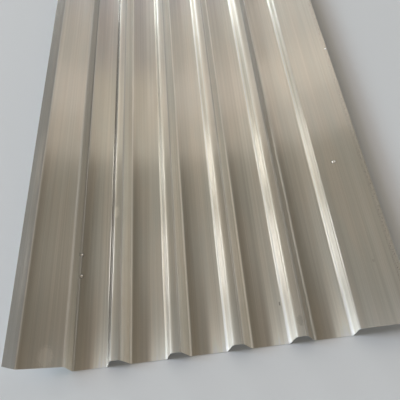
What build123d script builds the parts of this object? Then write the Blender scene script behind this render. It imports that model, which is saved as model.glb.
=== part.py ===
"""Roll-formed corrugated metal sheet: narrow trapezoidal ribs between wide flat pans, a raised
side wing with a stiffening lip along one long edge, and a plain flat wing along the other.

X runs across the ribs, Y along them and Z up. The origin is at the centre of the bounding box's
underside, so the pans lie on the plane Z = 0.
"""

from build123d import *

import os
from math import cos, radians, sin

# Driving dimensions, in millimetres and degrees
sheet_length = 2400.0
sheet_thickness = 0.6
bend_radius = 4.0

rib_count = 4
rib_pitch = 125.0
rib_height = 33.0
crown_width = 21.0
rib_side_run = 14.0

wing_side_run = 5.0
raised_wing_width = 96.0
raised_wing_tilt = 13.0
lip_width = 31.0
lip_tilt = 61.0

flat_wing_width = 106.0


def rib_corners(foot):
    """The four bends of a rib whose left foot is at this X."""
    return [
        (foot, 0),
        (foot + rib_side_run, rib_height),
        (foot + rib_side_run + crown_width, rib_height),
        (foot + 2 * rib_side_run + crown_width, 0),
    ]


def rolled_onward(corner, width, tilt):
    """The next corner to the left, at this width along a face that rises by this tilt."""
    return (corner[0] - width * cos(radians(tilt)), corner[1] + width * sin(radians(tilt)))


# Corners of the sheet's middle surface, from the lip across to the flat wing
rib_foot_width = 2 * rib_side_run + crown_width
pan_width = rib_pitch - rib_foot_width

wing_root = (-wing_side_run, rib_height)
lip_root = rolled_onward(wing_root, raised_wing_width, raised_wing_tilt)
lip_edge = rolled_onward(lip_root, lip_width, lip_tilt)

corners = [lip_edge, lip_root, wing_root, (0, 0)]
for rib in range(rib_count):
    corners += rib_corners(pan_width + rib * rib_pitch)

last_foot = pan_width + rib_count * rib_pitch
flat_wing_root = last_foot + rib_side_run
flat_wing_edge = flat_wing_root + flat_wing_width
corners += [(last_foot, 0), (flat_wing_root, rib_height), (flat_wing_edge, rib_height)]

# The sheet: one folded strip of even thickness, drawn out along its length. The lip's outer face
# leans out past its middle surface, and that face's edge is where the sheet begins.
half_thickness = sheet_thickness / 2
lip_reach = lip_edge[0] - half_thickness * sin(radians(lip_tilt))
centre_x = (lip_reach + flat_wing_edge) / 2

with BuildPart() as corrugated_sheet:
    with BuildSketch(Plane.XZ.offset(-sheet_length / 2)) as section:
        with BuildLine():
            FilletPolyline(
                *[(x - centre_x, z + half_thickness) for x, z in corners],
                radius=bend_radius + half_thickness,
            )
        trace(line_width=sheet_thickness)
    extrude(amount=sheet_length)

corrugated_sheet.part.label = "corrugated_sheet"

os.makedirs("parts", exist_ok=True)
export_step(corrugated_sheet.part, "parts/corrugated_sheet.step")
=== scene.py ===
from math import cos, exp, pi, radians, sin, tan
from typing import NamedTuple

import bpy
import numpy as np
from mathutils import Matrix, Vector, noise


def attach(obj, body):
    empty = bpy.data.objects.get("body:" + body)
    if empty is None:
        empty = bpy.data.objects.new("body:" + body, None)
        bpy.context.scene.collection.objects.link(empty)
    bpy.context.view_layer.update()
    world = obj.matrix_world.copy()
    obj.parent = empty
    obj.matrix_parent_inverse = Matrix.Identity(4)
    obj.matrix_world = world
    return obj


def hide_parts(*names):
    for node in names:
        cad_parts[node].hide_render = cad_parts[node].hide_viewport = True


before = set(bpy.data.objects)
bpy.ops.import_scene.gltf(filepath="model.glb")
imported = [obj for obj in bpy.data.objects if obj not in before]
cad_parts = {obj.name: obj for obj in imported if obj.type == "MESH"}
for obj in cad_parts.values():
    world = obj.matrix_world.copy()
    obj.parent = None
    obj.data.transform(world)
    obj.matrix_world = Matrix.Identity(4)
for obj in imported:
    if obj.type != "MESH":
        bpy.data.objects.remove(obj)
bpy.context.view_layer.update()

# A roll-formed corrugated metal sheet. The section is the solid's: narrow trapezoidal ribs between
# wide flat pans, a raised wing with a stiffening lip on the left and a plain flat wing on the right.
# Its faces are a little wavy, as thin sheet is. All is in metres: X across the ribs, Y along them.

# The section's sizes. The bends are a little rounder here than in the solid and the last rib side
# a little steeper, as in the photograph. The edges lie where the solid's do.
SHEET_LENGTH = 2.4
SHEET_THICKNESS = 0.0006
MIDDLE_BEND_RADIUS = 0.0063
RIB_COUNT = 4
RIB_PITCH = 0.125
RIB_HEIGHT = 0.033
CROWN_WIDTH = 0.021
RIB_SIDE_RUN = 0.014
WING_SIDE_RUN = 0.005
RAISED_WING_WIDTH = 0.096
RAISED_WING_TILT = radians(13)
LIP_WIDTH = 0.031
LIP_TILT = radians(61)
FLAT_WING_SIDE_RUN = 0.0085
FLAT_WING_WIDTH = 0.1115

# The lip, the raised wing, its side and a pan come before the first rib. A rib has a left side, a
# crown, a right side and the pan after it.
FACES_BEFORE_RIBS = 4
FACES_PER_RIB = 4

# How finely the section and the length are divided
BEND_STEPS = 7
FACE_STEP = 0.006
LEAST_STEPS = 5
LENGTH_STEP = 0.024
END_STEPS = 6
END_LENGTH = 0.03

# How far the faces leave their true planes. Quick waves lie on slow ones, a pan also bulges evenly,
# and the flat wing moves most near its edge. A taper of 1 would hold that edge itself still.
PAN_BULGE = 0.00035
RAISED_WING_WAVE = 0.0006
FLAT_WING_WAVE = 0.0009
FLAT_WING_TAPER = 1.3
WAVE_LENGTH = 0.33
QUICK_WAVES_TO_SLOW = 2.3
PAN_EVEN_SHARE = 0.55
PAN_SLOW_SHARE = 0.45
PAN_QUICK_SHARE = 0.2
WING_QUICK_SHARE = 0.4

# Where the waves lie in the noise: each face has its row, and slow and quick waves a layer each
NOISE_ROW = 3.7
SLOW_LAYER = 0.31
QUICK_LAYER = 7.9


class SectionPoint(NamedTuple):
    """A point of the middle surface and its share of the way across its face or round its bend. A
    bend has the kinds of both its faces."""
    place: Vector
    normal: Vector
    face: int
    kinds: tuple
    share: float


# The section
def section_corners():
    """Each corner of the sheet's middle surface and the kind of face that follows it."""
    pan_width = RIB_PITCH - 2 * RIB_SIDE_RUN - CROWN_WIDTH
    wing_root = Vector((-WING_SIDE_RUN, RIB_HEIGHT))
    lip_root = wing_root + RAISED_WING_WIDTH * Vector((-cos(RAISED_WING_TILT), sin(RAISED_WING_TILT)))
    lip_edge = lip_root + LIP_WIDTH * Vector((-cos(LIP_TILT), sin(LIP_TILT)))
    corners = [
        (lip_edge, "lip"),
        (lip_root, "raised wing"),
        (wing_root, "wing side"),
        (Vector((0, 0)), "pan"),
    ]
    for rib in range(RIB_COUNT):
        foot = pan_width + rib * RIB_PITCH
        crown = foot + RIB_SIDE_RUN
        corners += [
            (Vector((foot, 0)), "left side"),
            (Vector((crown, RIB_HEIGHT)), "crown"),
            (Vector((crown + CROWN_WIDTH, RIB_HEIGHT)), "right side"),
            (Vector((crown + CROWN_WIDTH + RIB_SIDE_RUN, 0)), "pan"),
        ]
    last_foot = pan_width + RIB_COUNT * RIB_PITCH
    wing_start = last_foot + FLAT_WING_SIDE_RUN
    corners += [
        (Vector((last_foot, 0)), "left side"),
        (Vector((wing_start, RIB_HEIGHT)), "flat wing"),
        (Vector((wing_start + FLAT_WING_WIDTH, RIB_HEIGHT)), "end"),
    ]
    lip_reach = lip_edge.x - SHEET_THICKNESS / 2 * sin(LIP_TILT)
    shift = Vector(((lip_reach + wing_start + FLAT_WING_WIDTH) / 2, -SHEET_THICKNESS / 2))
    return [(corner - shift, kind) for corner, kind in corners]


def bend(before, here, after):
    """How much a bend takes off the faces beside it, and its points with their normals."""
    into, out = (here - before).normalized(), (after - here).normalized()
    turn = into.angle_signed(out)
    side = 1 if into.cross(out) > 0 else -1
    trim = MIDDLE_BEND_RADIUS * tan(abs(turn) / 2)
    first = here - trim * into
    centre = first + side * MIDDLE_BEND_RADIUS * Vector((-into.y, into.x))
    arc = []
    for step in range(1, BEND_STEPS):
        spoke = Matrix.Rotation(side * abs(turn) * step / BEND_STEPS, 2) @ (first - centre)
        arc.append((centre + spoke, -side * spoke.normalized()))
    return trim, arc


def section_points():
    """The middle surface's points, from the lip's edge to the flat wing's."""
    places, kinds = zip(*section_corners())
    unbent = (0.0, [])
    bends = [unbent, *(bend(*three) for three in zip(places, places[1:], places[2:])), unbent]
    points = []
    for face, (start, end) in enumerate(zip(places, places[1:])):
        along = (end - start).normalized()
        normal = Vector((-along.y, along.x))
        (trim, arc), (next_trim, _) = bends[face:face + 2]
        for step, (place, turned) in enumerate(arc, 1):
            points.append(SectionPoint(place, turned, face, kinds[face - 1:face + 1], step / BEND_STEPS))
        first, last = start + trim * along, end - next_trim * along
        count = max(LEAST_STEPS, round((last - first).length / FACE_STEP))
        for step in range(count + 1):
            share = step / count
            points.append(SectionPoint(first.lerp(last, share), normal, face, (kinds[face],), share))
    return points


def lengths_across(points):
    """How far each point lies from the lip's edge, along the middle surface."""
    steps = [(after.place - before.place).length for before, after in zip(points, points[1:])]
    return np.concatenate([[0.0], np.cumsum(steps)])


def wave(point, y):
    """How far a face stands off its true plane here."""
    kind, share = point.kinds[0], point.share
    if len(point.kinds) > 1 or kind not in ("pan", "raised wing", "flat wing"):
        return 0.0
    row, along = NOISE_ROW * point.face, y / WAVE_LENGTH
    slow = noise.noise(Vector((along, row, SLOW_LAYER)))
    quick = noise.noise(Vector((along * QUICK_WAVES_TO_SLOW, row, QUICK_LAYER)))
    if kind == "pan":
        swell = PAN_EVEN_SHARE + PAN_SLOW_SHARE * slow + PAN_QUICK_SHARE * quick
        return PAN_BULGE * sin(pi * share) ** 2 * swell
    swell = slow + WING_QUICK_SHARE * quick
    if kind == "raised wing":
        return RAISED_WING_WAVE * sin(pi * share) ** 2 * swell
    return FLAT_WING_WAVE * share ** 2 * swell * (FLAT_WING_TAPER - share)


class Fade(NamedTuple):
    """A painted highlight at an edge: how much lighter it makes the metal there, and how soon that fades
    away from it.
    """
    tone: float
    length: float

    def at(self, distance):
        return self.tone * exp(-distance / self.length)


# How light the metal is painted, where 1 is its plain colour. The ribs' sides carry painted highlights,
# some more than others, and the first rib's left side, the lip and the last rib's right side carry painted
# shade.
LIP_PAINTED_SHADE = 0.59
LEFT_SIDE_PAINTED_LIGHT = (0.06, 1.05, 1.6, 1.6, 1.6)
RIGHT_SIDE_PAINTED_LIGHT = (1.5, 1.4, 1.35, 0.65)

# Across a left side a painted highlight runs along its foot and a line of painted shade near its middle,
# and a crown has a painted highlight along its left edge. These lengths are shares of the face's width.
SIDE_FOOT_HIGHLIGHT = Fade(0.25, 0.14)
SIDE_SHADE_LINE = 0.17
SIDE_SHADE_LINE_PLACE = 0.45
SIDE_SHADE_LINE_WIDTH = 0.2
CROWN_EDGE_HIGHLIGHT = Fade(0.6, 0.25)

# A pan is painted lighter across this band near its middle, and stays so as far as the next rib: painted
# light where the rib before it casts no shadow
PAN_LIT_BAND = (0.5, 0.6)
PAN_PAINTED_LIGHT = 0.13

# Some faces carry painted light next to the sheet's near end. These lengths are in metres.
PAN_NEAR_END_LIGHT = Fade(0.75, 0.08)
WING_SIDE_NEAR_END_LIGHT = Fade(0.9, 0.12)
FIRST_SIDE_NEAR_END_LIGHT = Fade(0.6, 0.045)

# The painted highlight or painted shade along a bend, lighter or darker than the faces beside it. Next to a
# side painted darker than the limit below, most of the bend is painted as dark as that side.
BEND_PAINTED_LIGHT = {
    ("lip", "raised wing"): 0.5,
    ("raised wing", "wing side"): 0.2,
    ("wing side", "pan"): -0.45,
    ("pan", "left side"): 0.45,
    ("left side", "crown"): 0.3,
    ("crown", "right side"): -0.45,
    ("right side", "pan"): 0.5,
}
SHADED_SIDE_LIMIT = 0.5


def face_tone(face, kind, share, reach):
    """How light a face is painted, with its painted light and shade, a share of the way across it and this
    far from the near end.
    """
    rib = (face - FACES_BEFORE_RIBS) // FACES_PER_RIB
    if kind == "lip":
        return LIP_PAINTED_SHADE
    if kind == "wing side":
        return 1 + WING_SIDE_NEAR_END_LIGHT.at(reach)
    if kind == "pan":
        low, high = PAN_LIT_BAND
        band = min(max((share - low) / (high - low), 0), 1)
        return 1 + band * (PAN_PAINTED_LIGHT + PAN_NEAR_END_LIGHT.at(reach))
    if kind == "left side":
        shade_line = SIDE_SHADE_LINE * exp(-((share - SIDE_SHADE_LINE_PLACE) / SIDE_SHADE_LINE_WIDTH) ** 2)
        end = 0 if rib else FIRST_SIDE_NEAR_END_LIGHT.at(reach)
        return LEFT_SIDE_PAINTED_LIGHT[rib] * (1 + SIDE_FOOT_HIGHLIGHT.at(share) - shade_line) + end
    if kind == "crown":
        return 1 + CROWN_EDGE_HIGHLIGHT.at(share)
    if kind == "right side":
        return RIGHT_SIDE_PAINTED_LIGHT[rib]
    return 1


def point_tone(point, y):
    """How light the metal is painted, with painted light and shade, at a point of a face, or of a bend
    between two faces.
    """
    reach = y + SHEET_LENGTH / 2
    if len(point.kinds) == 1:
        return face_tone(point.face, point.kinds[0], point.share, reach)
    before = face_tone(point.face - 1, point.kinds[0], 1, reach)
    after = face_tone(point.face, point.kinds[1], 0, reach)
    line = BEND_PAINTED_LIGHT.get(point.kinds, 0) * sin(pi * point.share) ** 2
    share = point.share
    if after < SHADED_SIDE_LIMIT < before:
        share = sin(pi / 2 * share)
    elif before < SHADED_SIDE_LIMIT < after:
        share = 1 - cos(pi / 2 * share)
    return before + (after - before) * share + line * min(before, after, 1)


# The sheet
def length_stations():
    """Places along the sheet, closer together near its cut ends."""
    half = SHEET_LENGTH / 2
    count = round((SHEET_LENGTH - 2 * END_LENGTH) / LENGTH_STEP)
    middle = np.linspace(END_LENGTH - half, half - END_LENGTH, count + 1)
    end = np.linspace(0, END_LENGTH, END_STEPS + 1)[:-1]
    return np.concatenate([end - half, middle, half - end[::-1]])


def sheet_surfaces(points, stations):
    """Where the top's and the underside's points are, and how light the metal is painted there, as painted
    light and shade.
    """
    places = np.empty((2, len(points), len(stations), 3))
    tones = np.empty((len(points), len(stations)), np.float32)
    for column, point in enumerate(points):
        for row, y in enumerate(stations):
            off = wave(point, y)
            for surface, lift in enumerate((off + SHEET_THICKNESS / 2, off - SHEET_THICKNESS / 2)):
                spot = point.place + lift * point.normal
                places[surface, column, row] = (spot.x, y, spot.y)
            tones[column, row] = point_tone(point, y)
    return places, tones


def quads(a, b, c, d):
    """Faces of four points each, from four blocks of their points' numbers."""
    return np.stack([a.ravel(), b.ravel(), c.ravel(), d.ravel()], 1)


def sheet_faces(across, along):
    """The mesh's faces by side. The top's points are numbered first, then those under them."""
    top = np.arange(across * along).reshape(across, along)
    under = top + across * along
    low, high = np.s_[:-1], np.s_[1:]
    return {
        "top": quads(top[low, low], top[high, low], top[high, high], top[low, high]),
        "under": quads(under[low, low], under[low, high], under[high, high], under[high, low]),
        "near end": quads(top[low, 0], under[low, 0], under[high, 0], top[high, 0]),
        "far end": quads(top[low, -1], top[high, -1], under[high, -1], under[low, -1]),
        "lip edge": quads(top[0, low], top[0, high], under[0, high], under[0, low]),
        "wing edge": quads(top[-1, low], under[-1, low], under[-1, high], top[-1, high]),
    }


# Where each side of the mesh lies in the square map: its left and its width
MAP_PLACES = {
    "top": (0.01, 0.46),
    "under": (0.49, 0.46),
    "lip edge": (0.955, 0.004),
    "wing edge": (0.965, 0.004),
    "near end": (0.975, 0.004),
    "far end": (0.985, 0.004),
}
MAP_MARGIN = 0.01


def square_map(faces, arc_length, stations):
    """The sheet's sides set beside one another in a square."""
    along_share = stations / SHEET_LENGTH + 0.5
    across_share = arc_length / arc_length[-1]
    parts = []
    for side, group in faces.items():
        is_under, place = np.divmod(group.ravel(), len(arc_length) * len(stations))
        column, row = np.divmod(place, len(stations))
        u = across_share[column] if side in ("top", "under") else is_under
        v = across_share[column] if side in ("near end", "far end") else along_share[row]
        left, width = MAP_PLACES[side]
        parts.append(np.stack([left + width * u, MAP_MARGIN + (1 - 2 * MAP_MARGIN) * v], 1))
    return np.concatenate(parts)


def flat_map(faces, arc_length, stations):
    """The sheet laid flat, in metres, for its finish."""
    corner = np.concatenate([group.ravel() for group in faces.values()])
    column, row = np.divmod(corner % (len(arc_length) * len(stations)), len(stations))
    return np.stack([arc_length[column], stations[row]], 1)


def rim_edges(mesh, across, along):
    """Which edges run along the sheet's outline."""
    ends = np.empty(len(mesh.edges) * 2, np.int32)
    mesh.edges.foreach_get("vertices", ends)
    column, row = np.divmod(ends.reshape(-1, 2) % (across * along), along)
    on_rim = np.zeros(len(mesh.edges), bool)
    for line, last in ((column, across - 1), (row, along - 1)):
        on_rim |= (line[:, 0] == line[:, 1]) & np.isin(line[:, 0], (0, last))
    return on_rim


def add_object(name, data):
    """A new object in the scene."""
    added = bpy.data.objects.new(name, data)
    bpy.context.scene.collection.objects.link(added)
    return added


def build_sheet(points):
    """The sheet: its mesh, the two maps of it, its painted light and shade, and which faces are cut edges.
    """
    stations = length_stations()
    places, tones = sheet_surfaces(points, stations)
    faces = sheet_faces(len(points), len(stations))
    mesh = bpy.data.meshes.new("sheet")
    mesh.from_pydata(places.reshape(-1, 3).tolist(), [], np.concatenate(list(faces.values())).tolist())
    mesh.update()
    arc_length = lengths_across(points)
    for name, make in (("sheet", flat_map), ("OFBake", square_map)):
        layer = mesh.uv_layers.new(name=name)
        layer.uv.foreach_set("vector", make(faces, arc_length, stations).astype(np.float32).ravel())
    mesh.uv_layers.active = mesh.uv_layers["OFBake"]
    mesh.uv_layers["OFBake"].active_render = True

    # The tone attribute holds the painted light and shade of the faces and bends.
    tone = mesh.attributes.new("tone", "FLOAT", "POINT")
    tone.data.foreach_set("value", np.tile(tones.ravel(), 2))
    sharp = mesh.attributes.new("sharp_edge", "BOOLEAN", "EDGE")
    sharp.data.foreach_set("value", rim_edges(mesh, len(points), len(stations)))
    is_cut = np.arange(len(mesh.polygons)) >= len(faces["top"]) + len(faces["under"])
    mesh.polygons.foreach_set("use_smooth", np.ones(len(mesh.polygons), bool))
    mesh.polygons.foreach_set("material_index", is_cut.astype(np.int32))
    return add_object("sheet_body", mesh)


# The finish
class Streaks(NamedTuple):
    """Noise drawn out along the sheet: how many grains it has to a metre across the sheet and along
    it, how much detail, and where it lies in the noise."""
    across: float
    along: float
    detail: float
    start: float


HAIR = Streaks(1500, 1.1, 1, 3.2)
FINE = Streaks(900, 3.0, 2, 1.3)
MIDDLE = Streaks(160, 0.8, 3, 5.1)
BROAD = Streaks(28, 0.35, 2, 9.7)
CLOUD = Streaks(22, 3.2, 3, 4.4)
STREAK_NOISE_ROUGHNESS = 0.6
EVEN_NOISE_ROUGHNESS = 0.5
EVEN_NOISE_DETAIL = 2.0


class Nodes:
    """Makes the nodes of a material or a world. An input is given by its name, with an underscore
    for a space, or by its number after an underscore."""

    def __init__(self, owner):
        self.owner = owner
        owner.use_nodes = True
        self.tree = owner.node_tree
        self.tree.nodes.clear()

    def add(self, kind, settings=None, **inputs):
        """A node with these settings, and with its inputs linked or set."""
        node =self.tree.nodes.new("ShaderNode" + kind)
        for key, value in (settings or {}).items():
            setattr(node, key, value)
        for key, value in inputs.items():
            socket = node.inputs[int(key[1:])] if key[0] == "_" else node.inputs[key.replace("_", " ")]
            if isinstance(value, bpy.types.NodeSocket):
                self.tree.links.new(value, socket)
            else:
                socket.default_value = value
        return node

    def noise(self, place, grains, detail=EVEN_NOISE_DETAIL, roughness=EVEN_NOISE_ROUGHNESS):
        """Noise with this many grains to a metre, or to each unit of a stretched place."""
        return self.add("TexNoise", {"noise_dimensions": "2D"}, Vector=place, Scale=grains,
                        Detail=detail, Roughness=roughness).outputs["Fac"]

    def streaks(self, place, kind):
        stretched = self.add("Mapping", _0=place, Scale=(kind.across, kind.along, 1),
                             Location=(kind.start, 2 * kind.start, 0)).outputs[0]
        return self.noise(stretched, 1.0, kind.detail, STREAK_NOISE_ROUGHNESS)

    def spread(self, value, within, to=(0.0, 1.0)):
        """Turns the values between two limits into those between two others."""
        return self.add("MapRange", Value=value, From_Min=within[0], From_Max=within[1],
                        To_Min=to[0], To_Max=to[1]).outputs[0]

    def math(self, operation, a, b):
        return self.add("Math", {"operation": operation}, _0=a, _1=b).outputs[0]

    def product(self, first, *others):
        for other in others:
            first = self.math("MULTIPLY", first, other)
        return first

    def mix(self, share, a, b, blend="MIX"):
        return self.add("Mix", {"data_type": "RGBA", "blend_type": blend}, _0=share, _6=a, _7=b).outputs[2]

    def surface(self, **inputs):
        """Gives the material its shader, with these inputs, and returns the material."""
        shader = self.add("BsdfPrincipled", **inputs)
        self.add("OutputMaterial", Surface=shader.outputs[0])
        return self.owner


class Mark(NamedTuple):
    """A mark on the top: its middle, its half width and half length, and how light the metal is there."""
    x: float
    y: float
    half_width: float
    half_length: float
    tone: float


MARKS = {
    "first crown, lighter patch": Mark(-0.1943, -0.8400, 0.0075, 0.018, 1.25),
    "last crown, smudge": Mark(0.1866, -1.1680, 0.0060, 0.012, 0.8),
    "fourth pan, speck": Mark(0.1530, -1.1140, 0.0017, 0.005, 0.5),
    "flat wing, smudge": Mark(0.3562, -1.0620, 0.0030, 0.004, 0.85),
    "raised wing's near end, pale patch": Mark(-0.3340, -1.1780, 0.016, 0.024, 1.25),
}
# Each drop's tone is how dark the painted shadow round it is.
DROPS = {
    "raised wing's foot, upper": Mark(-0.2890, -0.9260, 0.0050, 0.0036, 0.6),
    "raised wing's foot, lower": Mark(-0.2855, -0.9820, 0.0040, 0.0040, 0.6),
    "flat wing": Mark(0.3352, -0.7940, 0.0048, 0.0038, 0.8),
    "flat wing's edge": Mark(0.4020, -0.3940, 0.0026, 0.0038, 0.9),
}
DROP_HEIGHT = 0.0021
DROP_RINGS = 6
DROP_SIDES = 20
DROP_COLOUR = (0.97, 0.96, 0.93, 1)
DROP_ROUGHNESS = 0.24

# Round a drop the metal is painted darker, as a painted shadow, out to this many times the drop's size. A
# mark fades out between two shares of its size, and noise makes its edge ragged by a share of it.
DROP_SHADOW_REACH = 1.7
MARK_EDGE = (0.7, 1.1)
RAGGED_GRAINS = 420.0
RAGGED = (-0.25, 0.25)

# The stretch of its values that most noise keeps to
NOISE_RANGE = (0.3, 0.7)

# The streaks: the stretch of the noise that they take, and how light they make the metal
STREAK_RANGE = (0.35, 0.65)
STREAK_TONES = (0.88, 1.08)
HAIR_RANGE = (0.58, 0.72)
HAIR_TONES = (1.0, 1.16)

# The nicks along the flat wing's edge: the width of the strip that they lie in, and how dark they are
NICKED_EDGE = 0.013
NICK_GRAINS = 340.0
NICK_RANGE = (0.61, 0.67)
NICK_TONE = 0.4

# The metal's colour, which changes from place to place as clouds do, its gloss and its relief
METAL_WARM = (0.60, 0.57, 0.515, 1)
METAL_COOL = (0.565, 0.56, 0.52, 1)
CLOUD_RANGE = (0.38, 0.62)
FINE_ROUGHNESS = (-0.03, 0.03)
BROAD_ROUGHNESS = (0.48, 0.52)
COAT_ROUGHNESS = 0.12
COAT_IOR = 3.0
RELIEF = 0.0001
MIDDLE_RELIEF = 0.6
FINE_RELIEF = 0.15

# The cut edges
CUT_DARK = (0.5, 0.49, 0.46, 1)
CUT_LIGHT = (0.8, 0.78, 0.74, 1)
CUT_GRAINS = 900.0
CUT_ROUGHNESS = (0.4, 0.55)


def marked(n, place, points):
    """How light the marks make the metal, and the painted shadows round the drops."""
    section_x = [point.place.x for point in points]
    section_u = lengths_across(points)
    ragged = n.spread(n.noise(place, RAGGED_GRAINS), NOISE_RANGE, RAGGED)
    spots = [(mark, 1.0) for mark in MARKS.values()] + [(drop, DROP_SHADOW_REACH) for drop in DROPS.values()]
    tones = []
    for mark, size in spots:
        u = float(np.interp(mark.x, section_x, section_u))
        wide, long = size * mark.half_width, size * mark.half_length
        spot = n.add("Mapping", _0=place, Scale=(1 / wide, 1 / long, 1),
                     Location=(-u / wide, -mark.y / long, 0)).outputs[0]
        reach = n.add("VectorMath", {"operation": "LENGTH"}, _0=spot).outputs["Value"]
        tones.append(n.spread(n.math("ADD", reach, ragged), MARK_EDGE, (mark.tone, 1.0)))
    return n.product(*tones)


def nicked(n, place, points):
    """How light the metal is along the flat wing's edge, where small nicks darken it."""
    edge = float(lengths_across(points)[-1])
    across = n.add("SeparateXYZ", _0=place).outputs[0]
    at_edge = n.spread(across, (edge - NICKED_EDGE, edge - NICKED_EDGE / 2))
    nicks = n.spread(n.noise(place, NICK_GRAINS), NICK_RANGE)
    return n.spread(n.product(nicks, at_edge), (0.0, 1.0), (1.0, NICK_TONE))


def sheet_material(points):
    """Rolled metal: its fine grain spreads light across the sheet, and its smooth skin mirrors."""
    n = Nodes(bpy.data.materials.new("sheet_metal"))
    place = n.add("UVMap", {"uv_map": "sheet"}).outputs[0]
    kinds = (HAIR, FINE, MIDDLE, BROAD, CLOUD)
    hair, fine, middle, broad, cloud = (n.streaks(place, kind) for kind in kinds)

    streaked = n.math("ADD", n.product(middle, 0.5), n.product(broad, 0.5))
    # The colour is lightened and darkened by the streaks, the marks and the nicks, and by painted light and
    # shade: the tone attribute and the painted shadows round the drops.
    tone = n.product(
        n.spread(streaked, STREAK_RANGE, STREAK_TONES),
        n.spread(hair, HAIR_RANGE, HAIR_TONES),
        n.add("Attribute", {"attribute_name": "tone"}).outputs["Fac"],
        marked(n, place, points),
        nicked(n, place, points),
    )
    tint = n.mix(n.spread(cloud, CLOUD_RANGE), METAL_WARM, METAL_COOL)
    grey = n.add("CombineColor", Red=tone, Green=tone, Blue=tone).outputs[0]

    rough_fine = n.spread(fine, NOISE_RANGE, FINE_ROUGHNESS)
    rough_broad = n.spread(broad, NOISE_RANGE, BROAD_ROUGHNESS)
    height = n.math("ADD", n.product(middle, MIDDLE_RELIEF), n.product(fine, FINE_RELIEF))
    relief = n.add("Bump", Strength=1.0, Distance=RELIEF, Height=height).outputs[0]
    tangent = n.add("Tangent", {"direction_type": "UV_MAP", "uv_map": "sheet"}).outputs[0]
    return n.surface(
        Base_Color=n.mix(1.0, tint, grey, "MULTIPLY"),
        Metallic=1.0,
        Roughness=n.math("ADD", rough_fine, rough_broad),
        Normal=relief,
        Anisotropic=1.0,
        Tangent=tangent,
        Coat_Weight=1.0,
        Coat_Roughness=COAT_ROUGHNESS,
        Coat_IOR=COAT_IOR,
        Coat_Normal=relief,
    )


def cut_material():
    """Bare metal where the sheet was cut."""
    n = Nodes(bpy.data.materials.new("cut_metal"))
    place = n.add("UVMap", {"uv_map": "sheet"}).outputs[0]
    grain = n.add("TexNoise", Vector=place, Scale=CUT_GRAINS, Detail=EVEN_NOISE_DETAIL).outputs["Fac"]
    colour = n.mix(grain, CUT_DARK, CUT_LIGHT)
    return n.surface(Base_Color=colour, Metallic=1.0, Roughness=n.spread(grain, NOISE_RANGE, CUT_ROUGHNESS))


def drop_material():
    """Bright metal that has set smooth."""
    n = Nodes(bpy.data.materials.new("drop_metal"))
    return n.surface(Base_Color=DROP_COLOUR, Metallic=1.0, Roughness=DROP_ROUGHNESS)


def build_drops(points):
    """Small drops of metal that have set on the sheet's upper face. Their rims lie inside the sheet,
    so that no gap shows under them."""
    section_x = [point.place.x for point in points]
    section_z = [point.place.y for point in points]
    vertices, faces = [], []
    for drop in DROPS.values():
        middle_z = float(np.interp(drop.x, section_x, section_z))
        first = len(vertices)
        for ring in range(DROP_RINGS + 1):
            spread, rise = sin(pi / 2 * ring / DROP_RINGS), cos(pi / 2 * ring / DROP_RINGS)
            for side in range(DROP_SIDES):
                turn = 2 * pi * side / DROP_SIDES
                x = drop.x + drop.half_width * spread * cos(turn)
                y = drop.y + drop.half_length * spread * sin(turn)
                vertices.append((x, y, middle_z + DROP_HEIGHT * rise))
        for ring in range(DROP_RINGS):
            inner, outer = first + ring * DROP_SIDES, first + (ring + 1) * DROP_SIDES
            for side in range(DROP_SIDES):
                after = (side + 1) % DROP_SIDES
                faces.append((inner + side, outer + side, outer + after, inner + after))
    mesh = bpy.data.meshes.new("drops")
    mesh.from_pydata(vertices, [], faces)
    mesh.polygons.foreach_set("use_smooth", np.ones(len(faces), bool))
    mesh.materials.append(drop_material())
    return add_object("drops", mesh)


section = section_points()
sheet = build_sheet(section)
sheet.data.materials.append(sheet_material(section))
sheet.data.materials.append(cut_material())
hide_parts("corrugated_sheet")
drops = build_drops(section)
for piece in (sheet, drops):
    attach(piece, "root")

# The studio: a wide pale floor a little under the sheet, lamps far away, and a room that is pale near
# the floor and darker and warmer above. The room's heights are in degrees above the horizon.
FLOOR_HALF = 12.0
FLOOR_DROP = 0.0005
FLOOR_COLOUR = (0.74, 0.78, 0.82, 1)
FLOOR_ROUGHNESS = 0.9
SUBJECT = Vector((0, -0.6, 0.02))
LAMP_DISTANCE = 30.0
WHITE = (1, 1, 1)
ROOM_BELOW = (0.48, 0.48, 0.475, 1)
ROOM_ABOVE = (0.168, 0.14, 0.1, 1)
PALE_UP_TO = 12
DARK_FROM = 24

# The camera, where the photograph's camera stood. Its lens and sensor are in millimetres.
CAMERA_PLACE = (0.1212, -1.5335, 1.002)
CAMERA_FORWARD = Vector((-0.093185, 0.577755, -0.810873))
CAMERA_UP = Vector((0.154279, 0.812959, 0.561512))
CAMERA_LENS = 45.353
CAMERA_SENSOR = 36
CAMERA_NEAREST = 0.01


def lay_floor():
    """The floor, a square of one face."""
    half = FLOOR_HALF
    corners = [(-half, -half, 0), (half, -half, 0), (half, half, 0), (-half, half, 0)]
    mesh = bpy.data.meshes.new("floor")
    mesh.from_pydata(corners, [], [(0, 1, 2, 3)])
    n = Nodes(bpy.data.materials.new("floor"))
    mesh.materials.append(n.surface(Base_Color=FLOOR_COLOUR, Roughness=FLOOR_ROUGHNESS))
    plane = add_object("floor", mesh)
    plane.location.z = -FLOOR_DROP


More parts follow.
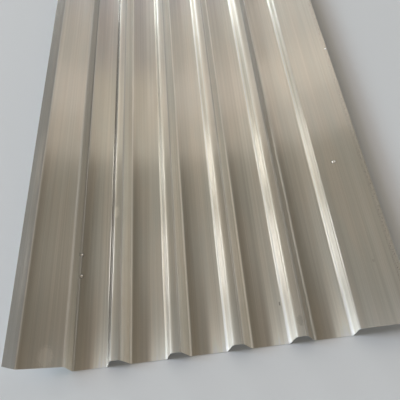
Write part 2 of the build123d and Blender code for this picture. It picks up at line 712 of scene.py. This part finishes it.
def softbox(name, across, forward, light, colour):
    """A rectangular lamp that faces the sheet. It spans these angles from overhead towards +X and
    from there towards +Y, in degrees, and light is how bright its face is."""
    lean, reach = radians(sum(across) / 2), radians(sum(forward) / 2)
    away = Vector((cos(reach) * sin(lean), sin(reach), cos(reach) * cos(lean)))
    side = Vector((-sin(reach) * sin(lean), cos(reach), -sin(reach) * cos(lean)))
    data = bpy.data.lights.new(name, "AREA")
    data.shape = "RECTANGLE"
    data.size = LAMP_DISTANCE * radians(forward[1] - forward[0])
    data.size_y = LAMP_DISTANCE * cos(reach) * radians(across[1] - across[0])
    data.energy = pi * light * data.size * data.size_y
    data.color = colour
    lamp = add_object(name, data)
    turn = Matrix((side, away.cross(side), away)).transposed().to_4x4()
    lamp.matrix_world = Matrix.Translation(SUBJECT + LAMP_DISTANCE * away) @ turn
    lamp.visible_camera = False


def light_room():
    """The light that comes from all round, by its height."""
    world =bpy.data.worlds.new("studio")
    n = Nodes(world)
    upward = n.add("SeparateXYZ", _0=n.add("TexCoord").outputs["Generated"]).outputs[2]
    height = n.spread(upward, (sin(radians(PALE_UP_TO)), sin(radians(DARK_FROM))))
    light = n.add("Background", Color=n.mix(height, ROOM_BELOW, ROOM_ABOVE))
    n.add("OutputWorld", Surface=light.outputs[0])
    bpy.context.scene.world = world


def place_camera():
    """The camera, turned to look forward with its own up side up."""
    data = bpy.data.cameras.new("camera")
    data.lens = CAMERA_LENS
    data.sensor_width = CAMERA_SENSOR
    data.clip_start = CAMERA_NEAREST
    back = -CAMERA_FORWARD.normalized()
    right = CAMERA_UP.cross(back).normalized()
    turn = Matrix((right, back.cross(right), back)).transposed().to_4x4()
    camera = add_object("camera", data)
    camera.matrix_world = Matrix.Translation(CAMERA_PLACE) @ turn
    bpy.context.scene.camera = camera


lay_floor()

# Low on the left, for the bends and sides that lean that way
softbox("low_far", (-82, -72), (52, 72), 3.7, (0.81, 0.92, 1))
softbox("left_near", (-72, -57), (-4, 16), 15, (0.74, 0.88, 1))
softbox("left_middle", (-66, -57), (16, 40), 2, (1, 0.96, 0.85))
softbox("left_far", (-74, -64), (40, 55), 2.1, (0.93, 1, 1))
softbox("left_end", (-72, -57), (55, 72), 8.3, (0.87, 1, 0.94))

# Higher on the left. The gaps between these lamps show as darker stretches of the ribs' sides.
softbox("inner_near", (-57, -40), (-4, 13), 5.1, (0.85, 0.86, 1))
softbox("strip_1", (-54, -42), (24, 32), 4.15, (1, 0.99, 0.94))
softbox("strip_2", (-51, -42), (36, 42), 5.9, (1, 0.96, 0.84))
softbox("strip_3", (-57, -49), (55, 64), 4.1, (1, 0.81, 0.8))
softbox("inner", (-42, -34), (24, 32), 2.2, (1, 0.97, 0.94))
softbox("inner_far", (-42, -34), (36, 44), 1.2, (1, 0.97, 0.94))
softbox("high_near", (-40, -12), (-4, 13), 1.8, (1, 0.8, 0.62))

# Overhead and beyond the sheet, for its flat faces. None is nearer, so the near part is darker.
softbox("over_left", (-32, -12), (40, 50), 0.65, (1, 0.9, 0.73))
softbox("over_left_end", (-32, -12), (50, 57), 0.35, (1, 0.9, 0.93))
softbox("over_far", (-32, 6), (57, 72), 0.56, (0.91, 0.89, 1))
softbox("over_middle", (-12, 6), (40, 45), 0.56, (1, 0.87, 0.73))
softbox("over_middle_next", (-12, 6), (45, 50), 0.87, (1, 0.89, 0.78))
softbox("over_middle_end", (-12, 6), (50, 57), 0.6, (1, 0.92, 0.81))
softbox("over_right", (6, 24), (40, 45), 0.56, (1, 0.92, 0.83))
softbox("over_right_next", (6, 24), (45, 50), 1.07, (1, 0.89, 0.75))
softbox("over_right_end", (6, 24), (50, 57), 0.71, (1, 0.91, 0.81))

# On the right
softbox("right_far", (20, 62), (43, 72), 0.48, (0.93, 0.97, 1))
softbox("right_edge", (22, 30), (12, 43), 1.2, (0.92, 0.95, 1))
softbox("right", (30, 72), (12, 43), 0.31, (1, 0.88, 0.68))

# Behind the camera
softbox("behind_left", (-80, 0), (-80, -30), 0.3, WHITE)
softbox("behind_right", (0, 80), (-80, -30), 0.3, WHITE)

light_room()
place_camera()
bpy.context.scene.view_settings.view_transform = "Standard"
